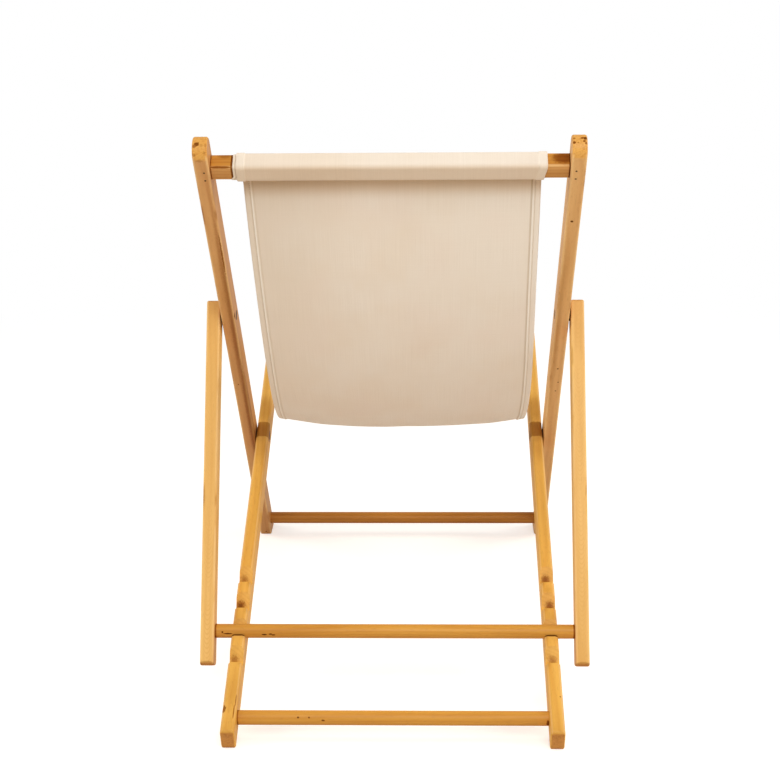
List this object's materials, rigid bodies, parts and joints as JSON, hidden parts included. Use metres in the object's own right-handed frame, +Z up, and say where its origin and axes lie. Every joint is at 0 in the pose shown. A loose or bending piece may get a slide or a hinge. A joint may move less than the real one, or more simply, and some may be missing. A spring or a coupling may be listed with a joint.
{
  "type": "folding deck chair",
  "caption": "Folding wooden deck chair: crossed back and seat frames, a strut frame that drops into notches, and a plain canvas sling hung between the top and front rails.",
  "frame": {"origin": "on the floor below the middle of the chair's box", "axes": "+X to the sitter's right, +Y the way the sitter faces, +Z up"},
  "size_m": [0.62, 0.935, 0.9071],
  "materials": {
    "rail_wood": "worn clear varnish",
    "bar_wood": "worn clear varnish",
    "sling_canvas": "plain woven cotton",
    "rivet_steel": "dull",
    "brad_steel": "darkened"
  },
  "bodies": {
    "seat_frame": {"seat_rail_right": "rail_wood", "seat_rail_left": "rail_wood", "front_rail": "rail_wood", "front_rail_brads": "brad_steel", "rear_stretcher": "bar_wood", "sling_seat": "sling_canvas"},
    "back_frame": {"back_rail_right": "rail_wood", "back_rail_left": "rail_wood", "top_rail": "rail_wood", "top_rail_brads": "brad_steel", "front_stretcher": "bar_wood", "main_pivot_rivets": "rivet_steel", "main_pivot_washers": "rivet_steel", "main_pivot_burrs": "rivet_steel", "strut_pivot_rivets": "rivet_steel", "strut_pivot_washers": "rivet_steel", "strut_pivot_burrs": "rivet_steel", "sling_back": "sling_canvas"},
    "strut_frame": {"strut_right": "rail_wood", "strut_left": "rail_wood", "strut_bar": "bar_wood"}
  },
  "joints": [
    {"name": "fold", "type": "hinge", "parent": "seat_frame", "child": "back_frame", "pos_m": [0, 0.19138, 0.27896], "axis": [-1, 0, 0], "range_deg": [0, 98], "deforming": ["sling_back", "sling_seat"]},
    {"name": "strut_swing", "type": "hinge", "parent": "back_frame", "child": "strut_frame", "pos_m": [0, -0.04308, 0.57162], "axis": [1, 0, 0], "range_deg": [0, 58.8]}
  ],
  "couplings": [
    {"joint": "strut_swing", "follows": "fold", "ratio": 0.6}
  ]
}
